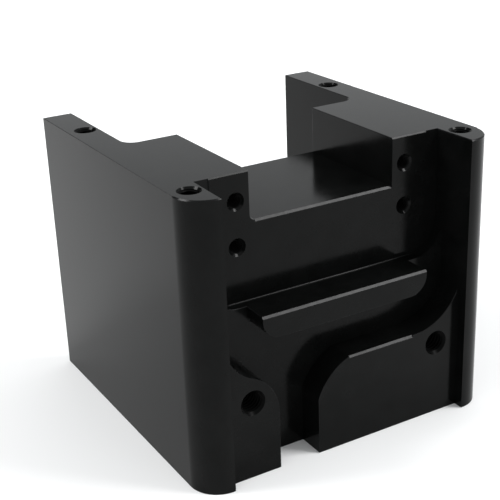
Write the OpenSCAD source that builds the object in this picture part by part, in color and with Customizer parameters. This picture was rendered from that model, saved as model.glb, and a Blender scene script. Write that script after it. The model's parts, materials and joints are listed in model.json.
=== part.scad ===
// Machined aluminium mounting block.
// One solid piece: two full-depth cheeks joined by a core, with a U-slot across the core's top,
// an open bay behind it, and a stepped front that carries a rib, two pads and a wire channel.
// Frame: millimetres, +Z up, front towards -Y, origin under the middle of the base.

/* [Block] */
// Overall width, across the outer faces of the two cheeks
body_w = 69.2; // [68.4:0.2:76]
// Overall depth, from the cheeks' front ends to their back ends
body_d = 68.6; // [64:0.2:80]
// Overall height
body_h = 60; // [56:0.5:70]
// Thickness of each cheek
cheek_t = 6.6; // [6:0.1:7]
// Radius of the upright outer corner at the front of each cheek
cheek_front_r = 6.2; // [3:0.1:6.5]

/* [Core] */
// Distance from the cheeks' front ends back to the plate seat, the core's upper front face
seat_set_back = 10.5; // [9.5:0.1:12]
// Distance from the cheeks' front ends back to the core's rear face
core_rear = 39.4; // [36:0.1:46]
// Radius of the upright corners in the rear bay
bay_corner_r = 3; // [1:0.1:4]
// Width of the corner relief at each end of the plate seat
relief_w = 3; // [2:0.1:4]
// How much deeper the corner relief is than the plate seat
relief_depth = 0.15; // [0.1:0.05:1]
// Radius at the seat's two lower corners, where the step curves up into the cheeks
seat_corner_r = 7; // [2:0.5:8]

/* [Top slot] */
// Width of the U-slot across the core's top
slot_w = 33.2; // [24:0.2:34]
// Depth of the U-slot below the top face
slot_depth = 10; // [6:0.5:12]
// Radius at the left bottom corner of the U-slot, whose right corner is square
slot_corner_r = 1.1; // [0.3:0.1:3]

/* [Lower front] */
// Height of the step where the plate seat ends, also the top of the rib
step_z = 33.8; // [33.5:0.1:36]
// Distance from the cheeks' front ends back to the channel's floor
floor_set_back = 8.3; // [7:0.1:9]
// Distance from the cheeks' front ends back to the pads and to the rib's front
pad_set_back = 2.2; // [1.5:0.1:3]

/* [Rib] */
// Length of the rib, from side to side
rib_w = 38.8; // [34:0.2:40]
// Height of the rib
rib_h = 5; // [4:0.1:6]
// Radius of the rib's two lower corners
rib_corner_r = 4; // [1:0.1:4]

/* [Left pad] */
// Position across the block of the left pad's inner edge
left_pad_edge = -16.3; // [-18:0.1:-14]
// Radius of the left pad's upper corner
left_pad_r = 9.6; // [6:0.1:10]
// Height at which the left pad's upper corner starts to round
left_pad_side_h = 13; // [10:0.1:14]
// Radius of the channel's bend beside the left cheek
left_bend_r = 10.2; // [9:0.1:12]

/* [Right pad] */
// Position across the block of the right pad's inner edge
right_pad_edge = -7.2; // [-9:0.1:-6]
// Height of the right pad's level top
right_pad_h = 19.9; // [18:0.1:21]
// Radius of the right pad's upper left corner
right_pad_r = 12.7; // [12.7:0.1:15]
// Centre height of the right pad's corner radius
right_pad_r_z = 8; // [7.5:0.1:8]
// Radius of the channel's bend beside the right cheek
right_bend_r = 12.6; // [12:0.1:13]
// Position across the block of the centre of that bend
right_bend_x = 16.1; // [15.6:0.1:16.4]

/* [Tapped holes] */
// Included angle of the countersinks
sink_angle = 120; // [110:5:120]
// Tapping drill diameter of the seat threads
seat_drill = 2.5; // [2.5:0.1:2.9]
// Countersink diameter of the seat threads
seat_sink = 3.7; // [3.2:0.1:3.8]
// Depth of the seat threads
seat_depth = 10; // [8:0.5:12]
// Tapping drill diameter of the cover threads
cover_drill = 3.3; // [3.3:0.1:3.5]
// Countersink diameter of the cover threads
cover_sink = 4.7; // [4:0.1:5]
// Depth of the cover threads
cover_depth = 10; // [8:0.5:12]
// Tapping drill diameter of the pad threads
pad_drill = 4.2; // [4.2:0.1:4.4]
// Countersink diameter of the pad threads
pad_sink = 5.4; // [5:0.1:5.8]
// Depth of the pad threads
pad_depth = 12; // [10:0.5:16]
// Distance between the cover holes, side to side
cover_pitch_x = 61.6; // [61:0.2:62.4]
// Distance between the cover holes, front to back
cover_pitch_y = 47; // [40:0.5:50]
// Distance from the cheeks' front ends back to the front cover holes
cover_front = 6.9; // [6:0.1:9]
// Distance between the plate seat's holes, side to side
seat_pitch_x = 39.2; // [38.4:0.2:42]
// Distance between the plate seat's holes, up and down
seat_pitch_z = 9.1; // [8:0.1:10]
// Height of the middle of the plate seat's hole pattern
seat_holes_z = 49.8; // [46:0.1:52]
// Distance between the two pad holes
pad_pitch_x = 44.4; // [43:0.2:46]
// Height of the pad holes
pad_holes_z = 16.5; // [13:0.1:17]

/* [Hidden] */
$fn = 96;
inner_x = body_w / 2 - cheek_t;
front_y = -body_d / 2;
seat_y = front_y + seat_set_back;
floor_y = front_y + floor_set_back;
pad_y = front_y + pad_set_back;
rear_y = front_y + core_rear;
slot_z = body_h - slot_depth;
// The solids that are joined run this far into each other, and the cutters run this far past a face
lap = 1;
// Left bend: an arc that touches the left cheek and the left pad's own corner
left_bend_x = -inner_x + left_bend_r;
left_pad_r_x = left_pad_edge - left_pad_r;
left_reach = left_pad_r + left_bend_r;
left_bend_z = left_pad_side_h + sqrt(pow(left_reach, 2) - pow(left_bend_x - left_pad_r_x, 2));
left_meet_x = left_pad_r_x + (left_bend_x - left_pad_r_x) * left_pad_r / left_reach;
// Right pad corner: an arc that cuts the pad's side and its level top at the same slight angle
right_pad_r_x = right_pad_edge + right_pad_h - right_pad_r_z;
right_bend_z = right_pad_h + right_bend_r;
black = [0.07, 0.07, 0.08];

// Extrudes an outline drawn across and up the front, from y_from back to y_to
module front_prism(y_from, y_to) {
    translate([0, y_to, 0])
        rotate([90, 0, 0])
            linear_extrude(y_to - y_from)
                children();
}

// A tapped hole's drill and countersink, mouth at the origin, running down -Z
module tapped_hole(drill, sink, depth) {
    sink_depth = (sink - drill) / 2 / tan(sink_angle / 2);
    translate([0, 0, -depth])
        cylinder(d = drill, h = depth + lap);
    translate([0, 0, -sink_depth])
        cylinder(d1 = drill, d2 = sink, h = sink_depth);
    cylinder(d = sink, h = lap);
}

// What lies between a square corner at [x, y] and an arc of radius r inside it
// into holds the signs of the way from the corner to the arc's centre
module corner_sliver(x, y, r, into) {
    difference() {
        translate([min(x - into[0] * lap, x + into[0] * r), min(y - into[1] * lap, y + into[1] * r)])
            square(r + lap);
        translate([x + into[0] * r, y + into[1] * r])
            circle(r = r);
    }
}

// A cheek: a full-depth side wall with its front outer corner rounded, on the right
module cheek() {
    linear_extrude(body_h)
        difference() {
            translate([inner_x, front_y])
                square([cheek_t, body_d]);
            corner_sliver(body_w / 2, front_y, cheek_front_r, [-1, 1]);
        }
}

// The rounded upright corner of the rear bay beside the right cheek
module bay_corner() {
    linear_extrude(body_h)
        corner_sliver(inner_x, rear_y, bay_corner_r, [-1, 1]);
}

// The rounded lower corner of the plate seat beside the right cheek
module seat_corner() {
    front_prism(floor_y, seat_y + lap)
        corner_sliver(inner_x, step_z, seat_corner_r, [-1, 1]);
}

// Core between the cheeks, with the plate seat above the step and the channel's floor below it
module core() {
    difference() {
        translate([-inner_x - lap, floor_y, 0])
            cube([2 * (inner_x + lap), rear_y - floor_y, body_h]);
        translate([-inner_x, floor_y - lap, step_z])
            cube([2 * inner_x, seat_y - floor_y + lap, body_h]);
        for (side = [-1, 1])
            translate([side * (inner_x - relief_w / 2) - relief_w / 2, floor_y - lap, step_z])
                cube([relief_w, seat_y - floor_y + lap + relief_depth, body_h]);
        top_slot();
    }
}

// The U-slot across the top of the core
module top_slot() {
    half = slot_w / 2;
    front_prism(floor_y - lap, rear_y + lap)
        difference() {
            translate([-half, slot_z])
                square([slot_w, slot_depth + lap]);
            corner_sliver(-half, slot_z, slot_corner_r, [1, 1]);
        }
}

// Outline of the rib, with its two lower corners rounded
module rib_outline() {
    half = rib_w / 2;
    difference() {
        translate([-half, step_z - rib_h])
            square([rib_w, rib_h]);
        for (side = [-1, 1])
            corner_sliver(side * half, step_z - rib_h, rib_corner_r, [-side, 1]);
    }
}

// Outline of the left pad: a straight side, a round upper corner, then the channel's bend
module left_pad_outline() {
    difference() {
        translate([-inner_x - lap, 0])
            square([left_pad_edge + inner_x + lap, left_bend_z]);
        difference() {
            translate([left_meet_x, left_pad_side_h])
                square([left_pad_r * 2, left_bend_z]);
            translate([left_pad_r_x, left_pad_side_h])
                circle(r = left_pad_r);
        }
        translate([left_bend_x, left_bend_z])
            circle(r = left_bend_r);
    }
}

// Outline of the right pad: a straight side, a round upper corner, a level top, then the bend
module right_pad_outline() {
    difference() {
        translate([right_pad_edge, 0])
            square([inner_x - right_pad_edge + lap, right_bend_z]);
        difference() {
            translate([right_pad_edge - lap, right_pad_r_z])
                square([right_pad_r_x - right_pad_edge + lap, right_bend_z]);
            translate([right_pad_r_x, right_pad_r_z])
                circle(r = right_pad_r);
        }
        translate([right_pad_edge - lap, right_pad_h])
            square([right_bend_x - right_pad_edge + lap, right_bend_z]);
        translate([right_bend_x, right_bend_z])
            circle(r = right_bend_r);
    }
}

// The rib and the two pads, which stand out from the channel's floor
module raised_front() {
    front_prism(pad_y, floor_y + lap)
        union() {
            rib_outline();
            left_pad_outline();
            right_pad_outline();
        }
}

// Every tapped hole in the block
module tapped_holes() {
    for (x = [-1, 1] * cover_pitch_x / 2, y = [cover_front, cover_front + cover_pitch_y])
        translate([x, front_y + y, body_h])
            tapped_hole(cover_drill, cover_sink, cover_depth);
    for (x = [-1, 1] * seat_pitch_x / 2, z = [-1, 1] * seat_pitch_z / 2)
        translate([x, seat_y, seat_holes_z + z])
            rotate([90, 0, 0])
                tapped_hole(seat_drill, seat_sink, seat_depth);
    for (x = [-1, 1] * pad_pitch_x / 2)
        translate([x, pad_y, pad_holes_z])
            rotate([90, 0, 0])
                tapped_hole(pad_drill, pad_sink, pad_depth);
}

// The whole block
module block_body() {
    color(black)
        difference() {
            union() {
                core();
                raised_front();
                for (side = [0, 1])
                    mirror([side, 0, 0]) {
                        cheek();
                        bay_corner();
                        seat_corner();
                    }
            }
            tapped_holes();
        }
}

block_body();
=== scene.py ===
"""A black anodised mounting block, milled from one piece, on a white studio floor.

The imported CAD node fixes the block's place and size. The block that is shown is built here again
at a finer grain: the same cuts, with broken edges, drilled and countersunk holes and real threads.
"""

import json
import math

import bmesh
import bpy
from mathutils import Matrix, Vector


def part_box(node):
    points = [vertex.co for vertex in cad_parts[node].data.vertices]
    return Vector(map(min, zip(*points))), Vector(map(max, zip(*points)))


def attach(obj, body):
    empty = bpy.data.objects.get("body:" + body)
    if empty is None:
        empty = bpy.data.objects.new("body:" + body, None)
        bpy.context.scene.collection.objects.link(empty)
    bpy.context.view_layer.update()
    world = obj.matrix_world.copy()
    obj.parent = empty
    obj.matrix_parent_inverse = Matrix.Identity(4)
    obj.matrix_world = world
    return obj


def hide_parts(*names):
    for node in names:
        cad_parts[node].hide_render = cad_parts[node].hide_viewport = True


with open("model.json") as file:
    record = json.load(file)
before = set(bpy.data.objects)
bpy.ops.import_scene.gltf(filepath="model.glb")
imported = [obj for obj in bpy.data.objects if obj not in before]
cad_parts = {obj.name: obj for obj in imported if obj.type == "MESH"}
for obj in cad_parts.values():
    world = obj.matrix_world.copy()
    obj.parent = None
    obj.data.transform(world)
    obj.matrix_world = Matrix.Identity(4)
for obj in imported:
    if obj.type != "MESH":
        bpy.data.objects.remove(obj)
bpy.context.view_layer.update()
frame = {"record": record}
scene = bpy.context.scene

# ---------------------------------------------------------------- camera
CAMERA_PLACE = Vector((-0.1131, -0.1926, 0.1244))
CAMERA_TARGET = Vector((-0.002120, 0.002070, 0.031795))
# The camera is turned a little about its own axis, so the block's right side hangs lower
CAMERA_ROLL = math.radians(-2.218)
CAMERA_LENS = 79.83


def make_camera():
    data = bpy.data.cameras.new("camera")
    data.lens = CAMERA_LENS
    data.sensor_width = 36.0
    data.clip_start = 0.01
    data.clip_end = 50.0
    camera = bpy.data.objects.new("camera", data)
    scene.collection.objects.link(camera)
    forward = (CAMERA_TARGET - CAMERA_PLACE).normalized()
    level = forward.cross(Vector((0, 0, 1))).normalized()
    upright = level.cross(forward)
    right = math.cos(CAMERA_ROLL) * level + math.sin(CAMERA_ROLL) * upright
    up = right.cross(forward)
    turn = Matrix((right, up, -forward)).transposed()
    camera.matrix_world = Matrix.Translation(CAMERA_PLACE) @ turn.to_4x4()
    scene.camera = camera


make_camera()

# ---------------------------------------------------------------- dimensions, in millimetres
MM = 0.001
low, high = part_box("block_body")
mounts = {mount["name"]: mount for mount in frame["record"]["mounts"]}

WIDTH = (high.x - low.x) / MM
HEIGHT = (high.z - low.z) / MM
FRONT_Y = low.y / MM
BACK_Y = high.y / MM
CHEEK_T = 6.6
INNER_X = WIDTH / 2 - CHEEK_T
CHEEK_FRONT_R = 6.2

# The plate seat, its corner reliefs, and the rear bay
SEAT_Y = mounts["seat_holes"]["pos_m"][1] / MM
RELIEF_W = 3.0
RELIEF_DEPTH = 0.15
SEAT_CORNER_R = 7.0
SEAT_FILLET_R = 0.3
CORE_REAR_Y = FRONT_Y + 39.4
BAY_R = 3.0

# The slot across the top of the core
SLOT_W = 33.2
SLOT_DEPTH = 10.0
SLOT_R = 1.1

# The lower front: the pads' face, the channel's floor behind it, and the step above both
PAD_Y = mounts["pad_holes"]["pos_m"][1] / MM
FLOOR_Y = FRONT_Y + 8.3
STEP_Z = 33.8
RIB_W = 38.8
RIB_H = 5.0
RIB_R = 4.0
LEFT_PAD_EDGE = -16.3
LEFT_PAD_R = 9.6
LEFT_PAD_SIDE_H = 13.0
LEFT_BEND_R = 10.2
RIGHT_PAD_EDGE = -7.2
RIGHT_PAD_H = 19.9
RIGHT_PAD_R = 12.7
RIGHT_PAD_R_Z = 8.0
RIGHT_BEND_R = 12.6
RIGHT_BEND_X = 16.1

# Tapped holes: (major diameter, pitch, countersink diameter, drill depth, thread length)
M3 = (3.0, 0.5, 3.7, 10.0, 8.2)
M4 = (4.0, 0.7, 4.7, 10.0, 8.0)
M5 = (5.0, 0.8, 5.4, 12.0, 10.0)
DRILL_TIP_HALF_ANGLE = math.radians(59)
HOLE_SIDES = 72
THREAD_SIDES = 40
# The thread cutter stays inside the drilled bore by this much, so their walls never coincide
CREST_GAP = 0.03
# Faces nearer than this to a hole's mouth belong to its rim
MOUTH_DEPTH = 0.1

# Edge breaks, on convex edges that turn by more than BREAK_ANGLE, and the wider ones at the front
EDGE_BREAK = 0.11
RIM_BREAK = 0.25
CHAMFER = 0.42
BREAK_ANGLE = math.radians(25)
BREAK_STEPS = 3
# A crest thinner than this between a milled bend and a cheek keeps its sharp edge
THIN_CREST = 0.45
SMOOTH_ANGLE = math.radians(32)

# Largest turn between two neighbouring points of an arc, in degrees
ARC_STEP = 2.5
# How far the cutters run past a face
LAP = 1.0
# Points nearer than MERGE become one, and flat joints below FLAT_ANGLE are dissolved
MERGE = 0.0005
FLAT_ANGLE = math.radians(0.3)
# Two places nearer than this count as the same when edges are sorted
TOLERANCE = 0.01

# Material slots of the broken edges (worn, with a faint painted highlight) and of the tapped bores
# (darker, with painted shade). Slot 0 is everything else
WORN_HIGHLIGHT_EDGE_SLOT = 1
PAINTED_SHADE_BORE_SLOT = 2


# ---------------------------------------------------------------- outlines
def arc(cx, cy, r, start, end):
    """Points on an arc from start to end, in degrees, with both ends."""
    steps = max(2, math.ceil(abs(end - start) / ARC_STEP))
    angles = [math.radians(start + (end - start) * i / steps) for i in range(steps + 1)]
    return [(cx + r * math.cos(a), cy + r * math.sin(a)) for a in angles]


def both_sides(left_half):
    """A symmetric outline from its left half, which starts and ends away from the middle."""
    return left_half + [(-x, y) for x, y in reversed(left_half)]


def stock_plan():
    """Plan of the whole block, with the cheeks' outer front corners rounded."""
    corner = arc(CHEEK_FRONT_R - WIDTH / 2, FRONT_Y + CHEEK_FRONT_R, CHEEK_FRONT_R, 180, 270)
    return both_sides([(-WIDTH / 2, BACK_Y)] + corner)


def bay_plan():
    corner = arc(BAY_R - INNER_X, CORE_REAR_Y + BAY_R, BAY_R, 180, 270)
    return both_sides([(-INNER_X, BACK_Y + LAP)] + corner)


def seat_plan():
    relief_y = SEAT_Y + RELIEF_DEPTH
    return both_sides([
        (-INNER_X, FRONT_Y - LAP),
        (-INNER_X, relief_y),
        (RELIEF_W - INNER_X, relief_y),
        (RELIEF_W - INNER_X, SEAT_Y),
    ])


def recess_plan(y):
    """Plan of a pocket between the cheeks, from the front back to y."""
    return both_sides([(-INNER_X, FRONT_Y - LAP), (-INNER_X, y)])


def seat_outline():
    """The plate seat across the front, with the two lower corners that curve up into the cheeks."""
    corner_z = STEP_Z + SEAT_CORNER_R
    beyond_x = INNER_X + LAP
    corner = arc(SEAT_CORNER_R - INNER_X, corner_z, SEAT_CORNER_R, 180, 270)
    return both_sides([(-beyond_x, HEIGHT + 2 * LAP), (-beyond_x, corner_z)] + corner)


def seat_fillet_outline():
    """The small fillet between the step and the plate seat, seen from the side."""
    hollow = arc(SEAT_Y - SEAT_FILLET_R, STEP_Z + SEAT_FILLET_R, SEAT_FILLET_R, 0, -90)
    back_y = SEAT_Y + LAP / 2
    return hollow + [(SEAT_Y - SEAT_FILLET_R, STEP_Z - LAP / 2), (back_y, STEP_Z - LAP / 2),
                     (back_y, STEP_Z + SEAT_FILLET_R)]


def chamfer_outline(y, z):
    """What a chamfer takes off a level front edge at (y, z), seen from the side."""
    return [(y - LAP, z - CHAMFER - LAP), (y + CHAMFER + LAP, z + LAP), (y - LAP, z + LAP)]


def slot_outline():
    """The slot across the top, whose left lower corner is rounded and whose right one is square."""
    floor_z = HEIGHT - SLOT_DEPTH
    corner = arc(SLOT_R - SLOT_W / 2, floor_z + SLOT_R, SLOT_R, 180, 270)
    return [(-SLOT_W / 2, HEIGHT + LAP)] + corner + [(SLOT_W / 2, floor_z), (SLOT_W / 2, HEIGHT + LAP)]


def channel_outline():
    """What the wire channel leaves open across the front, round the rib and between the pads."""
    top_z = STEP_Z + LAP
    beyond_x = INNER_X + LAP

    # Left pad: its straight side, its round corner, then a bend that touches the cheek
    pad_x = LEFT_PAD_EDGE - LEFT_PAD_R
    bend_x = LEFT_BEND_R - INNER_X
    reach = LEFT_PAD_R + LEFT_BEND_R
    meet = math.acos((bend_x - pad_x) / reach)
    bend_z = LEFT_PAD_SIDE_H + reach * math.sin(meet)
    meet = math.degrees(meet)
    left_pad = [(LEFT_PAD_EDGE, -LAP)]
    left_pad += arc(pad_x, LEFT_PAD_SIDE_H, LEFT_PAD_R, 0, meet)
    left_pad += arc(bend_x, bend_z, LEFT_BEND_R, 180 + meet, 180)[1:]
    left_pad += [(-beyond_x, bend_z), (-beyond_x, top_z)]

    # Rib: down its left side, round its two lower corners and up again
    corner = arc(RIB_R - RIB_W / 2, STEP_Z - RIB_H + RIB_R, RIB_R, 180, 270)
    rib = both_sides([(-RIB_W / 2, top_z)] + corner)

    # Right pad, from the cheek down: the bend, the level top, the round corner, the straight side
    bend_z = RIGHT_PAD_H + RIGHT_BEND_R
    rise = RIGHT_PAD_H - RIGHT_PAD_R_Z
    crown = 180 - math.degrees(math.asin(rise / RIGHT_PAD_R))
    right_pad = [(beyond_x, top_z), (beyond_x, bend_z)]
    right_pad += arc(RIGHT_BEND_X, bend_z, RIGHT_BEND_R, 0, -90)
    right_pad += arc(RIGHT_PAD_EDGE + rise, RIGHT_PAD_R_Z, RIGHT_PAD_R, crown, 270 - crown)
    return left_pad + rib + right_pad + [(RIGHT_PAD_EDGE, -LAP)]


# ---------------------------------------------------------------- solids
def new_object(name, bm):
    mesh = bpy.data.meshes.new(name)
    bm.to_mesh(mesh)
    bm.free()
    obj = bpy.data.objects.new(name, mesh)
    scene.collection.objects.link(obj)
    return obj


def prism(outline, axis, start, end):
    """A closed prism. The outline is (x, y) along Z, (x, z) along Y, and (y, z) along X."""
    bm = bmesh.new()
    if axis == "Z":
        rings = [[bm.verts.new((u, v, t)) for u, v in outline] for t in (start, end)]
    elif axis == "Y":
        rings = [[bm.verts.new((u, t, v)) for u, v in outline] for t in (start, end)]
    else:
        rings = [[bm.verts.new((t, u, v)) for u, v in outline] for t in (start, end)]
    first, last = rings
    bm.faces.new(first)
    bm.faces.new(last)
    for i in range(len(outline)):
        bm.faces.new((first[i - 1], first[i], last[i], last[i - 1]))
    bmesh.ops.recalc_face_normals(bm, faces=bm.faces)
    return new_object("prism", bm)


def bake(obj):
    """Applies the modifiers of an object to its mesh."""
    depsgraph = bpy.context.evaluated_depsgraph_get()
    mesh = bpy.data.meshes.new_from_object(obj.evaluated_get(depsgraph))
    obj.modifiers.clear()
    obj.data = mesh


def combine(target, tool, operation):
    """Applies one boolean to target and removes the tool."""
    modifier = target.modifiers.new("combine", "BOOLEAN")
    modifier.operation = operation
    modifier.solver = "MANIFOLD"
    modifier.object = tool
    bake(target)
    bpy.data.objects.remove(tool)


def mill_block():
    block = prism(stock_plan(), "Z", 0, HEIGHT)
    channel = prism(channel_outline(), "Y", FRONT_Y - LAP, FLOOR_Y)
    combine(channel, prism(recess_plan(BACK_Y), "Z", -2 * LAP, HEIGHT), "INTERSECT")
    seat = prism(seat_plan(), "Z", STEP_Z - LAP, HEIGHT + LAP)
    combine(seat, prism(seat_outline(), "Y", FRONT_Y - 2 * LAP, BACK_Y), "INTERSECT")
    cuts = [
        prism(bay_plan(), "Z", -LAP, HEIGHT + LAP),
        prism(recess_plan(FLOOR_Y), "Z", STEP_Z, HEIGHT + LAP),
        seat,
        prism(slot_outline(), "Y", FRONT_Y, BACK_Y),
        prism(recess_plan(PAD_Y), "Z", -LAP, STEP_Z + LAP),
        channel,
    ]
    for cut in cuts:
        combine(block, cut, "DIFFERENCE")
    combine(block, prism(seat_fillet_outline(), "X", -INNER_X, INNER_X), "UNION")
    rib_end = RIB_W / 2 + LAP
    pad_corner_x = RIGHT_PAD_EDGE + RIGHT_PAD_H - RIGHT_PAD_R_Z
    pad_crown_x = pad_corner_x - math.sqrt(RIGHT_PAD_R**2 - (RIGHT_PAD_H - RIGHT_PAD_R_Z)**2)
    for start, end, y, z in (
        (SLOT_R - SLOT_W / 2, SLOT_W / 2, SEAT_Y, HEIGHT - SLOT_DEPTH),
        (-rib_end, rib_end, PAD_Y, STEP_Z),
        (pad_crown_x, RIGHT_BEND_X, PAD_Y, RIGHT_PAD_H),
    ):
        combine(block, prism(chamfer_outline(y, z), "X", start, end), "DIFFERENCE")
    return block


def near(a, b):
    return abs(a - b) < TOLERANCE


def stays_sharp(edge):
    """True on thin crests beside the cheeks, their front inner edges and the plate seat's ends."""
    middle = (edge.verts[0].co + edge.verts[1].co) / 2
    if near(middle.y, SEAT_Y) and near(abs(middle.x), INNER_X - RELIEF_W):
        return True
    if near(middle.y, FRONT_Y) and near(abs(middle.x), INNER_X):
        return True
    if near(middle.y, FLOOR_Y) and middle.x > INNER_X - SEAT_CORNER_R + 1 and middle.z > STEP_Z:
        return True
    beside_cheek = INNER_X - THIN_CREST < abs(middle.x) < INNER_X - 0.001
    return beside_cheek and middle.y < 0 and LAP < middle.z < STEP_Z + SEAT_CORNER_R


def is_front_rim(edge):
    """True on the top edges in front of the core, and round the front of each cheek."""
    middle = (edge.verts[0].co + edge.verts[1].co) / 2
    if not near(middle.z, HEIGHT) or middle.y > SEAT_Y + TOLERANCE:
        return False
    return abs(middle.x) < WIDTH / 2 - TOLERANCE


def sharp_edges(bm):
    """The convex edges to break, apart from those beside a face that is a chamfer already."""
    return [
        edge
        for edge in bm.edges
        if edge.calc_face_angle_signed(0) > BREAK_ANGLE
        and not stays_sharp(edge)
        and not any(face.material_index for face in edge.link_faces)
    ]


def bevel(bm, edges, width, steps):
    bmesh.ops.bevel(
        bm,
        geom=edges,
        offset=width,
        offset_type="OFFSET",
        segments=steps,
        profile=0.5,
        affect="EDGES",
        clamp_overlap=False,
        # The new bevel faces take the worn edge surface, whose lighter dye is partly a painted
        # highlight
        material=WORN_HIGHLIGHT_EDGE_SLOT,
    )


CHAMFER_NORMAL = Vector((0, -1, 1)).normalized()


def break_edges(block):
    """Marks the three milled chamfers, then breaks the front rims and after them the other edges."""
    bm = bmesh.new()
    bm.from_mesh(block.data)
    bmesh.ops.remove_doubles(bm, verts=bm.verts, dist=MERGE)
    bmesh.ops.dissolve_limit(bm, angle_limit=FLAT_ANGLE, verts=bm.verts, edges=bm.edges)
    for face in bm.faces:
        # The milled chamfers take the worn edge surface, whose lighter dye is partly a painted
        # highlight
        if face.normal.dot(CHAMFER_NORMAL) > 0.999:
            face.material_index = WORN_HIGHLIGHT_EDGE_SLOT
    bevel(bm, [edge for edge in sharp_edges(bm) if is_front_rim(edge)], RIM_BREAK, 1)
    bevel(bm, sharp_edges(bm), EDGE_BREAK, BREAK_STEPS)
    bm.to_mesh(block.data)
    bm.free()


# ---------------------------------------------------------------- holes and threads
def turned(bm, profile, place):
    """A closed turned solid in bm. The profile is (radius, z) from one end of the axis to the other."""
    sides = [math.tau * i / HOLE_SIDES for i in range(HOLE_SIDES)]
    start = bm.verts.new(place @ Vector((0, 0, profile[0][1])))
    stop = bm.verts.new(place @ Vector((0, 0, profile[-1][1])))
    rings = [
        [bm.verts.new(place @ Vector((r * math.cos(a), r * math.sin(a), z))) for a in sides]
        for r, z in profile[1:-1]
    ]
    for i in range(HOLE_SIDES):
        bm.faces.new((start, rings[0][i], rings[0][i - 1]))
        bm.faces.new((stop, rings[-1][i - 1], rings[-1][i]))
        for ring, after in zip(rings, rings[1:]):
            bm.faces.new((ring[i - 1], ring[i], after[i], after[i - 1]))


def add_drill(bm, size, place):
    """The drilled bore with its pointed end, and the countersink at its mouth."""
    major, pitch, sink, depth, _ = size
    drill_r = (major - pitch) / 2
    sink_r = sink / 2
    point = depth + drill_r / math.tan(DRILL_TIP_HALF_ANGLE)
    turned(bm, [(0, -point), (drill_r, -depth), (drill_r, drill_r - sink_r), (sink_r, 0),
                (sink_r, LAP), (0, LAP)], place)


def add_tap(bm, size, place):
    """A helical cutter with a 60 degree thread, in rows of points that follow the helix."""
    major, pitch, _, _, length = size
    inner_r = (major - pitch) / 2 - CREST_GAP
    outer_r = major / 2
    # Share of the pitch at which each row of points starts, and its radius
    rows = [(0.0, inner_r), (0.25, inner_r), (0.5625, outer_r), (0.6875, outer_r)]
    turns = math.ceil((length + LAP) / pitch)
    bottom = -length
    columns = []
    for i in range(THREAD_SIDES):
        angle = math.tau * i / THREAD_SIDES
        column = []
        for turn in range(turns):
            for share, r in rows:
                z = bottom + pitch * (turn + share + i / THREAD_SIDES)
                point = Vector((r * math.cos(angle), r * math.sin(angle), z))
                column.append(bm.verts.new(place @ point))
        columns.append(column)
    count = len(columns[0])
    step = len(rows)
    for i in range(THREAD_SIDES - 1):
        for k in range(count - 1):
            a, b = columns[i], columns[i + 1]
            bm.faces.new((a[k], b[k], b[k + 1], a[k + 1]))
    first, last = columns[0], columns[-1]
    for k in range(count - 1 - step):
        bm.faces.new((last[k], first[k + step], first[k + step + 1], last[k + 1]))
    cap(bm, [column[0] for column in columns] + first[step:0:-1], place @ Vector((0, 0, bottom)))
    cap(bm, [column[-1] for column in columns] + last[-2:-2 - step:-1],
        place @ Vector((0, 0, bottom + pitch * (turns + 0.5))))


def cap(bm, loop, centre):
    """Closes a loop of points with a fan of triangles round centre."""
    hub = bm.verts.new(centre)
    for i in range(len(loop)):
        bm.faces.new((hub, loop[i - 1], loop[i]))


def mouths():
    """Every tapped hole's size and the place of its mouth, whose +Z points out of the block."""
    out_of_top = Matrix.Identity(4)
    out_of_front = Matrix.Rotation(math.radians(90), 4, "X")
    found = []
    for name, size, turn in (
        ("cover_holes", M4, out_of_top),
        ("seat_holes", M3, out_of_front),
        ("pad_holes", M5, out_of_front),
    ):
        middle = Vector(mounts[name]["pos_m"]) / MM
        dims = mounts[name]["dims"]
        across = dims["spacing_x_mm"] / 2
        along = dims.get("spacing_y_mm", 0) / 2
        for x in (-across, across):
            for y in sorted({-along, along}):
                found.append((size, Matrix.Translation(middle) @ turn @ Matrix.Translation((x, y, 0))))
    return found


def tap_holes(block):
    for add in (add_drill, add_tap):
        bm = bmesh.new()
        for size, place in mouths():
            add(bm, size, place)
        bmesh.ops.recalc_face_normals(bm, faces=bm.faces)
        combine(block, new_object("cutter", bm), "DIFFERENCE")


def mark_bores(block):
    """Gives the faces inside the tapped holes their own material slot, whose darker dye is painted
    shade.
    """
    bores = [(size[0] / 2, place.inverted()) for size, place in mouths()]
    for face in block.data.polygons:
        for radius, inward in bores:
            spot = inward @ face.center
            if spot.z < -MOUTH_DEPTH and math.hypot(spot.x, spot.y) < radius + TOLERANCE:
                # The faces inside a bore take the darker surface, whose dye is painted shade
                face.material_index = PAINTED_SHADE_BORE_SLOT


def finish_mesh(block):
    """Scales to metres, and shades curved stretches smooth between sharp edges."""
    bm = bmesh.new()
    bm.from_mesh(block.data)
    bmesh.ops.remove_doubles(bm, verts=bm.verts, dist=MERGE)
    bmesh.ops.scale(bm, vec=Vector((MM, MM, MM)), verts=bm.verts)
    for face in bm.faces:
        face.smooth = True
    for edge in bm.edges:
        edge.smooth = edge.calc_face_angle(0) < SMOOTH_ANGLE
    bm.to_mesh(block.data)
    bm.free()
    modifier = block.modifiers.new("even_normals", "WEIGHTED_NORMAL")
    modifier.keep_sharp = True
    modifier.weight = 80


# ---------------------------------------------------------------- materials
# Heights of the bumps, in metres
MILLING_HEIGHT = 0.0000012
ETCH_HEIGHT = 0.0000008


def noise(tree, place, stretch, scale, detail):
    """A noise texture in the block's own coordinates, stretched along its axes."""
    mapping = tree.nodes.new("ShaderNodeMapping")
    mapping.inputs["Scale"].default_value = stretch
    tree.links.new(place, mapping.inputs["Vector"])
    texture = tree.nodes.new("ShaderNodeTexNoise")
    texture.inputs["Scale"].default_value = scale
    texture.inputs["Detail"].default_value = detail
    tree.links.new(mapping.outputs["Vector"], texture.inputs["Vector"])
    return texture.outputs["Fac"]


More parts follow.
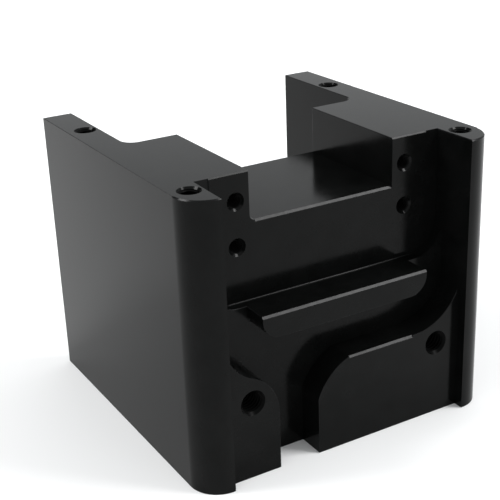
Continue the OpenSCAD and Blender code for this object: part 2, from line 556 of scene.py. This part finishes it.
def spread(tree, value, low_value, high_value):
    """Maps the middle of a noise's range onto low_value to high_value."""
    node = tree.nodes.new("ShaderNodeMapRange")
    node.inputs["From Min"].default_value = 0.3
    node.inputs["From Max"].default_value = 0.7
    node.inputs["To Min"].default_value = low_value
    node.inputs["To Max"].default_value = high_value
    tree.links.new(value, node.inputs["Value"])
    return node.outputs["Result"]


def anodise(name, index, thin_dye, full_dye, smooth, rough):
    """Black anodised aluminium: a glossy clear oxide over black dye, with a fine milled grain."""
    material = bpy.data.materials.new(name)
    material.use_nodes = True
    tree = material.node_tree
    shader = tree.nodes["Principled BSDF"]
    shader.inputs["IOR"].default_value = index
    place = tree.nodes.new("ShaderNodeTexCoord").outputs["Object"]

    # The dye takes a little unevenly, in soft clouds a few millimetres across
    clouds = noise(tree, place, (1, 1, 1), 220, 3)
    dye = tree.nodes.new("ShaderNodeValToRGB")
    dye.color_ramp.elements[0].position = 0.3
    dye.color_ramp.elements[0].color = (*thin_dye, 1)
    dye.color_ramp.elements[1].position = 0.7
    dye.color_ramp.elements[1].color = (*full_dye, 1)
    tree.links.new(clouds, dye.inputs["Fac"])
    tree.links.new(dye.outputs["Color"], shader.inputs["Base Color"])

    # The etched surface is duller in some spots than in others
    tree.links.new(spread(tree, noise(tree, place, (1, 1, 1), 900, 4), smooth, rough),
                   shader.inputs["Roughness"])

    # Milling lines that run across the block, under a finer even etch
    lines = noise(tree, place, (60, 1200, 1200), 3, 2)
    etch = noise(tree, place, (1, 1, 1), 9000, 2)
    normal = None
    for height, distance in ((lines, MILLING_HEIGHT), (etch, ETCH_HEIGHT)):
        bump = tree.nodes.new("ShaderNodeBump")
        bump.inputs["Strength"].default_value = 1.0
        bump.inputs["Distance"].default_value = distance
        tree.links.new(height, bump.inputs["Height"])
        if normal:
            tree.links.new(normal, bump.inputs["Normal"])
        normal = bump.outputs["Normal"]
    tree.links.new(normal, shader.inputs["Normal"])
    return material


FULL_DYE = (0.0022, 0.0024, 0.0023)
SURFACES = [
    anodise("black_anodise", 1.175, (0.0036, 0.0038, 0.0037), FULL_DYE, 0.13, 0.19),
    # On the broken edges the dye is thinner and slightly rubbed, and its lighter colour also paints a
    # faint highlight along them
    anodise("black_anodise_edge_worn_and_highlight", 1.19, (0.009, 0.009, 0.0095), FULL_DYE, 0.16, 0.26),
    # The threads are dull, and their darker dye paints in the shade inside the bores, where little
    # light finds its way in
    anodise("black_anodise_thread_painted_shade", 1.1, FULL_DYE, (0.001, 0.001, 0.001), 0.28, 0.4),
]


def coat(block):
    """Puts on the three surfaces. The faces' slots are set afterwards, as clearing resets them."""
    block.data.materials.clear()
    for surface in SURFACES:
        block.data.materials.append(surface)


block = mill_block()
coat(block)
break_edges(block)
tap_holes(block)
mark_bores(block)
finish_mesh(block)
# The booleans leave an empty slot behind the three surfaces
while len(block.data.materials) > len(SURFACES):
    block.data.materials.pop()
block.name = "milled_block"
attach(block, "root")
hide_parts("block_body")


# ---------------------------------------------------------------- floor and light
def plain_material(name, colour, roughness):
    material = bpy.data.materials.new(name)
    material.use_nodes = True
    shader = material.node_tree.nodes["Principled BSDF"]
    shader.inputs["Base Color"].default_value = (*colour, 1)
    shader.inputs["Roughness"].default_value = roughness
    shader.inputs["Specular IOR Level"].default_value = 0.0
    return material


def make_floor():
    bm = bmesh.new()
    bmesh.ops.create_circle(bm, cap_ends=True, segments=96, radius=6.0)
    floor = new_object("floor", bm)
    floor.data.materials.append(plain_material("white_floor", (0.9, 0.9, 0.9), 0.9))


# The sky's strength, and the cosines of the angles at which its dark gap begins and is darkest
SKY_STRENGTH = 0.87
GAP_BEGINS = 0.84
GAP_DARKEST = 0.93
GAP_DIRECTION = Vector((-0.27, 0.8, 0.48)).normalized()


def make_world():
    world = bpy.data.worlds.new("studio")
    scene.world = world
    world.use_nodes = True
    tree = world.node_tree
    background = tree.nodes["Background"]
    background.inputs["Strength"].default_value = SKY_STRENGTH
    # White all round, but for a dark gap in the lights behind the block on the left
    towards = tree.nodes.new("ShaderNodeVectorMath")
    towards.operation = "DOT_PRODUCT"
    towards.inputs[1].default_value = GAP_DIRECTION
    tree.links.new(tree.nodes.new("ShaderNodeTexCoord").outputs["Generated"], towards.inputs[0])
    gap = tree.nodes.new("ShaderNodeValToRGB")
    gap.color_ramp.elements[0].position = GAP_BEGINS
    gap.color_ramp.elements[0].color = (0.97, 0.99, 1, 1)
    gap.color_ramp.elements[1].position = GAP_DARKEST
    gap.color_ramp.elements[1].color = (0.1, 0.1, 0.1, 1)
    tree.links.new(towards.outputs["Value"], gap.inputs["Fac"])
    tree.links.new(gap.outputs["Color"], background.inputs["Color"])


def softbox(name, direction, distance, width, power):
    """A square light that looks at the block from a direction."""
    data = bpy.data.lights.new(name, "AREA")
    data.size = width
    data.energy = power
    light = bpy.data.objects.new(name, data)
    scene.collection.objects.link(light)
    aim = Vector(direction).normalized()
    light.location = aim * distance
    light.rotation_mode = "QUATERNION"
    light.rotation_quaternion = aim.to_track_quat("Z", "Y")


make_floor()
make_world()
softbox("key_softbox", (0.52, -0.4, 0.75), 1.0, 0.35, 6.0)
softbox("side_softbox", (-0.55, 0.3, 0.78), 1.2, 0.4, 8.0)
scene.view_settings.view_transform = "Standard"
